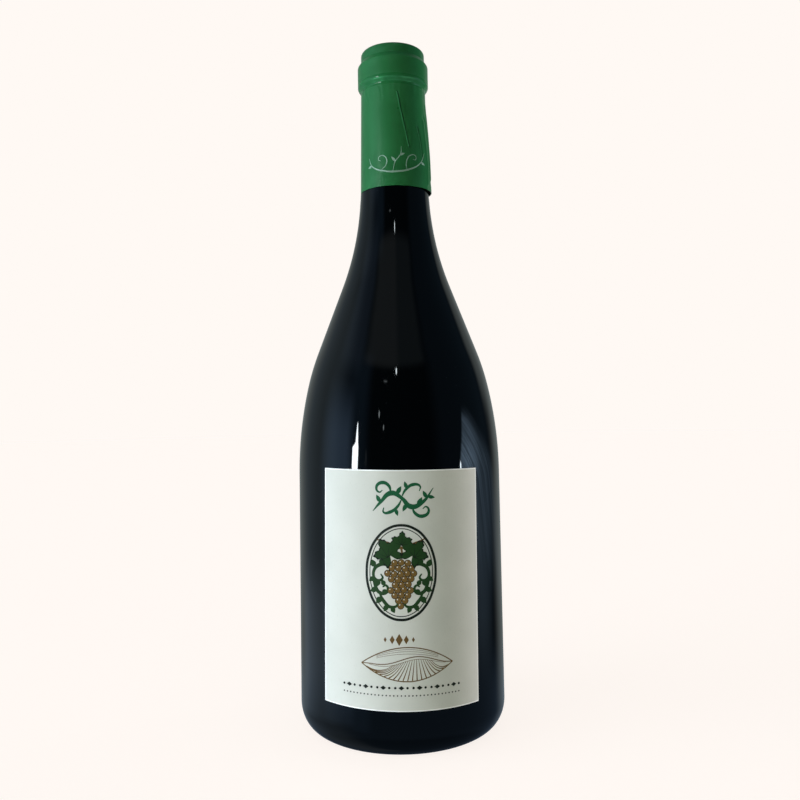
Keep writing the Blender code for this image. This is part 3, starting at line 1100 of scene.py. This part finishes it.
# %% Flourish
FLOURISH_SIDE = 0.8              # mm from the label's middle
FLOURISH_UP = 34.6
FLOURISH_WEIGHT = 1.3            # how full the brush is
FLOURISH = (
    ((-11.8, -4.6, 0.25), (-8.8, -1.2, 0.9), (-4.6, 2.4, 1.6), (-0.6, 0.5, 1.0), (3.1, -2.9, 1.6),
     (7.6, -1.2, 1.1), (11.9, 4.2, 0.2)),
    ((-4.9, 2.2, 0.3), (-5.4, 5.0, 0.9), (-8.2, 6.4, 1.1), (-10.4, 4.6, 0.8), (-9.3, 2.7, 0.5),
     (-8.0, 3.5, 0.25)),
    ((3.4, -2.7, 0.3), (4.6, -5.4, 0.9), (7.6, -6.6, 1.1), (10.0, -4.8, 0.8), (9.0, -3.0, 0.5),
     (7.6, -3.8, 0.25)),
    ((-0.7, 0.6, 0.25), (0.9, 3.6, 0.8), (3.8, 5.6, 1.0), (6.6, 4.9, 0.6), (6.3, 3.1, 0.25)),
    ((-0.5, 0.3, 0.25), (-2.1, -2.7, 0.8), (-5.0, -4.9, 1.0), (-7.6, -5.0, 0.6), (-7.5, -3.2, 0.25)),
)
FLOURISH_LEAVES = (               # place, direction and length
    (-8.9, -1.2, 118.0, 2.9), (-2.5, 2.0, 60.0, 3.1), (1.4, -1.7, -118.0, 3.0), (5.6, -2.6, 62.0, 3.3),
    (9.2, 0.4, 118.0, 2.8), (9.6, 0.9, -8.0, 2.6), (1.4, 4.1, 108.0, 2.6), (-3.0, -3.6, -72.0, 2.6),
)
strokes = [[(x + FLOURISH_SIDE, y, FLOURISH_WEIGHT * w) for x, y, w in stroke] for stroke in FLOURISH]
shapes = [pen_strokes("flourish", strokes, green_ink)]
for x, y, degrees, length in FLOURISH_LEAVES:
    outline = placed(leaf(1.15 * length, length * 0.56), x + FLOURISH_SIDE, y, degrees)
    shapes.append(cut_out("leaf", outline, green_ink))
on_label("print_flourish", shapes, FLOURISH_UP)
print("flourish strokes:", len(FLOURISH), "leaves:", len(FLOURISH_LEAVES))

# %% [markdown]
# ## A medallion with grapes
#
# The middle of the label has one larger picture. Here it is an upright oval in a thin double
# line, with a bunch of grapes under three vine leaves. The grapes are set row by row, each a gold
# disc on a slightly larger dark one, which leaves the dark line round it, with a pale glint.

# %% Medallion frame
MEDALLION_UP = 6.6
MEDALLION_HALF = (13.5, 18.0)
LINE_GAP = 1.3
OVAL_POINTS = 16


def oval(inset, width):
    """A closed stroke inside the medallion's edge."""
    angles = [2 * pi * k / OVAL_POINTS for k in range(OVAL_POINTS)]
    half_across, half_up = (half - inset for half in MEDALLION_HALF)
    return [(half_across * cos(angle), half_up * sin(angle), width) for angle in angles]


frame_lines = [oval(0.0, 1.00), oval(LINE_GAP, 0.36)]
on_label("print_frame", [pen_strokes("frame_line", frame_lines, dark_ink, closed=True)], MEDALLION_UP)
print("medallion:", 2 * MEDALLION_HALF[0], "by", 2 * MEDALLION_HALF[1], "mm")

# %% Grapes, leaves and shoot
GRAPE_ROWS = (3, 4, 5, 4, 3, 4, 3, 2, 1)
GRAPE_RADIUS = 1.36
GRAPE_CROWD = 0.93               # how close neighbours sit, as a share of their width
GRAPE_ROW_STEP = 2.06
BUNCH_TOP = 3.6                  # mm over the medallion's middle
LEAVES = ((-5.0, 7.6, 34.0, 6.3), (5.1, 7.4, -36.0, 6.0), (0.2, 11.6, -4.0, 4.4))

dark_shapes = []
gold_shapes = []
glints = []
for row, count in enumerate(GRAPE_ROWS):
    for number in range(count):
        x = (number - (count - 1) / 2) * 2 * GRAPE_RADIUS * GRAPE_CROWD + 0.22 * sin(row * 2.1)
        y = BUNCH_TOP - row * GRAPE_ROW_STEP + 0.18 * sin(number * 1.7 + row)
        dark_shapes.append(cut_out("ring", placed(dot(GRAPE_RADIUS), x, y), dark_ink, 0.020 * MM))
        gold_shapes.append(cut_out("grape", placed(dot(GRAPE_RADIUS - 0.22), x, y), gold_ink, 0.035 * MM))
        glints.append(cut_out("glint", placed(dot(0.24, 8), x - 0.40, y + 0.42), pale_ink, 0.050 * MM))
leaf_shapes = []
veins = []
for x, y, degrees, size in LEAVES:
    edge = placed(vine_leaf(), x, y, degrees, size)
    dark_shapes.append(cut_out("leaf_edge", edge, dark_ink, 0.045 * MM))
    inside = placed(vine_leaf(), x, y, degrees, size * 0.88)
    leaf_shapes.append(cut_out("leaf_fill", inside, leaf_ink, 0.060 * MM))
    for spread in (-72.0, -36.0, 0.0, 36.0, 72.0):
        way = radians(degrees + 90.0 + spread)
        reach = size * (0.95 if spread == 0.0 else 0.72)
        start = y - 0.3 * size
        veins.append([(x, start, 0.30), (x + reach * cos(way), start + reach * sin(way), 0.10)])
shoot = [
    [(-9.8, 12.6, 0.5), (-5.0, 11.2, 0.9), (0.0, 9.4, 1.1), (5.0, 11.0, 0.9), (9.6, 12.9, 0.4)],
    [(0.0, 9.5, 0.9), (0.3, 7.4, 0.8), (0.0, 5.2, 0.7)],
]
dark_shapes.append(pen_strokes("veins", veins, dark_ink, proud=0.070 * MM))

# One side's scrolls and leaves, drawn for the right and mirrored for the left
SCROLLS = (
    ((4.6, 2.6, 0.7), (8.2, 2.9, 1.5), (10.7, 0.2, 1.2), (9.7, -2.9, 1.1), (7.2, -2.3, 0.9),
     (7.9, -0.6, 0.5)),
    ((10.7, 0.4, 0.6), (10.3, -4.2, 1.3), (8.0, -7.9, 1.4), (5.3, -7.2, 1.1), (5.8, -5.0, 0.9),
     (7.2, -5.6, 0.5)),
    ((8.6, -7.2, 0.6), (6.7, -11.0, 1.4), (3.7, -13.2, 1.2), (1.4, -12.0, 0.8), (2.3, -10.8, 0.5)),
)
SCROLL_LEAVES = (
    (10.2, 2.0, 62.0, 3.2), (10.5, -1.9, -40.0, 2.6), (9.4, -6.2, -24.0, 2.9), (7.7, -9.4, -52.0, 3.2),
    (5.3, -12.4, -60.0, 2.8), (8.0, 2.9, 110.0, 2.8), (7.4, -7.9, 150.0, 2.6), (3.7, -13.1, -118.0, 2.6),
    (8.6, -2.8, -70.0, 3.0), (6.3, -5.0, 60.0, 2.6),
)
scroll_strokes = []
for side in (1, -1):
    scroll_strokes += [[(side * x, y, width) for x, y, width in stroke] for stroke in SCROLLS]
    for x, y, degrees, length in SCROLL_LEAVES:
        outline = [(side * across, up) for across, up in placed(leaf(length, length * 0.72), x, y, degrees)]
        leaf_shapes.append(cut_out("scroll_leaf", outline, leaf_ink, 0.045 * MM))
leaf_shapes.append(pen_strokes("scrolls", scroll_strokes, leaf_ink, proud=0.030 * MM))
on_label("print_outlines", dark_shapes, MEDALLION_UP)
on_label("print_grapes", gold_shapes, MEDALLION_UP)
on_label("print_glints", glints, MEDALLION_UP)
on_label("print_leaves", leaf_shapes, MEDALLION_UP)
on_label("print_shoot", [pen_strokes("print_shoot", shoot, brown_ink, proud=0.030 * MM)], MEDALLION_UP)
print("grapes:", len(gold_shapes), "leaves:", len(leaf_shapes))

# %% [markdown]
# ## The small print
#
# Below the medallion sit three quiet things: a row of diamonds, a brown sketch in a lens shape,
# with rows of vines that run up to a skyline of hills, and two bands of beads at the foot.

# %% Diamonds, vine rows and beads
DIAMONDS_SIDE = -0.8
DIAMONDS_UP = -18.9
DIAMOND_STEP = 2.7
ROWS_SIDE = 2.4
ROWS_UP = -28.2
ROWS_HALF = (18.0, 6.4)
BEADS_UP = -37.0
BEADS_HALF = 23.2
BEAD_ROW_DROP = 2.9

diamonds = []
for step in (-2, -1, 0, 1, 2):
    grow = 1.0 - 0.28 * abs(step)
    shape = placed(diamond(1.35 * grow, 2.3 * grow), DIAMONDS_SIDE + DIAMOND_STEP * step)
    diamonds.append(cut_out("diamond", shape, brown_ink))
on_label("print_diamonds", diamonds, DIAMONDS_UP)


def in_lens(share, level):
    """A place inside the lens: the share runs from -1 to 1 across, the level from foot to top."""
    return ROWS_SIDE + ROWS_HALF[0] * share, ROWS_HALF[1] * level * (1 - share * share)


def ridge(share):
    """Level of the hills' skyline."""
    return 0.22 + 0.26 * sin(3.4 * share + 0.6)


ACROSS = [step / 6 for step in range(-6, 7)]
FAR_END = 0.18                   # share at which the rows of vines meet
lens = [[(*in_lens(share, level), 0.42) for share in ACROSS] for level in (1.0, -1.0)]
lens.append([(*in_lens(share, ridge(share)), 0.36) for share in ACROSS])
lens.append([(*in_lens(share, ridge(share) - 0.16), 0.16) for share in ACROSS[1:-1]])
for level in (0.62, 0.76, 0.88):
    lens.append([(*in_lens(share, level), 0.14) for share in ACROSS[2:-2]])
for step in range(-9, 10):
    near_end = step / 10
    stroke = []
    for way in (0.0, 0.35, 0.7, 1.0):
        share = near_end + (FAR_END + 0.45 * (near_end - FAR_END) - near_end) * way
        stroke.append((*in_lens(share, -0.96 + (ridge(share) + 0.80) * way), 0.46 - 0.30 * way))
    lens.append(stroke)
on_label("print_vine_rows", [pen_strokes("print_vine_rows", lens, brown_ink)], ROWS_UP)

beads = []
for step in range(-10, 11):
    shape = diamond(1.15, 0.80) if step % 3 == 0 else dot(0.48, 10)
    beads.append(cut_out("bead", placed(shape, BEADS_HALF * step / 10), dark_ink))
for step in range(-16, 17):
    beads.append(cut_out("bead", placed(dot(0.30, 8), BEADS_HALF * step / 16, -BEAD_ROW_DROP), dark_ink))
on_label("print_beads", beads, BEADS_UP)
print("small motifs:", len(diamonds), "diamonds,", len(lens), "sketch lines,", len(beads), "beads")

# %% [markdown]
# ## A silver tendril on the sleeve
#
# Sleeves are often stamped with thin foil. The foil follows every fold of the film, so it is
# drawn flat, wrapped round the neck, and pushed out by the same rule as the film itself.

# %% Tendril
TENDRIL_MIDDLE = 243.0 * MM
TENDRIL_RADIUS = 15.2 * MM
TENDRIL = (
    ((-12.4, 1.6, 0.15), (-10.6, -2.2, 0.40), (-5.2, -5.0, 0.70), (1.4, -5.6, 0.85), (7.8, -4.0, 0.7),
     (12.6, -0.6, 0.4), (15.2, 4.2, 0.15)),
    ((-6.0, -4.8, 0.15), (-3.6, -2.4, 0.4), (-3.6, 0.6, 0.45), (-6.0, 1.8, 0.35), (-7.2, 0.2, 0.25),
     (-6.0, -0.6, 0.15)),
    ((5.6, -4.6, 0.15), (5.4, -1.6, 0.4), (7.2, 1.8, 0.45), (9.8, 2.0, 0.35), (9.8, 0.2, 0.25),
     (8.6, 0.2, 0.15)),
    ((-0.6, -5.4, 0.15), (0.4, -1.4, 0.4), (3.0, 2.4, 0.45), (3.2, 5.6, 0.15)),
)
TENDRIL_LEAVES = (
    (0.5, -1.2, 128.0, 2.8), (2.6, 1.8, 20.0, 2.4), (-10.7, -2.0, 200.0, 2.4), (12.8, -0.4, -20.0, 2.6),
)
stamped = [pen_strokes("tendril", TENDRIL, foil)]
for x, y, degrees, length in TENDRIL_LEAVES:
    stamped.append(cut_out("tendril_leaf", placed(leaf(length, length * 0.40), x, y, degrees), foil))
tendril = joined("print_tendril", stamped)
for vertex in tendril.data.vertices:
    across, up, out = vertex.co
    angle = across / TENDRIL_RADIUS
    level = TENDRIL_MIDDLE + up
    on_neck = Vector((sin(angle), -cos(angle), 0.0))
    smooth_spot = on_neck * neck_radius(level) + Vector((0.0, 0.0, level))
    vertex.co = smooth_spot + on_neck * (film_push(smooth_spot) + out)
settle(tendril)
print("tendril strokes:", len(TENDRIL), "leaves:", len(TENDRIL_LEAVES))

# %% [markdown]
# ## Joining the pieces to the CAD model
#
# Every piece rides on the one body, and the three main pieces stand for the CAD solids.

# %% Ride and replace
for piece in (glass, marks, sleeve, tendril, paper_sheet, *printed):
    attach(piece, "root")
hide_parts("bottle")
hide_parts("capsule")
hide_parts("label")
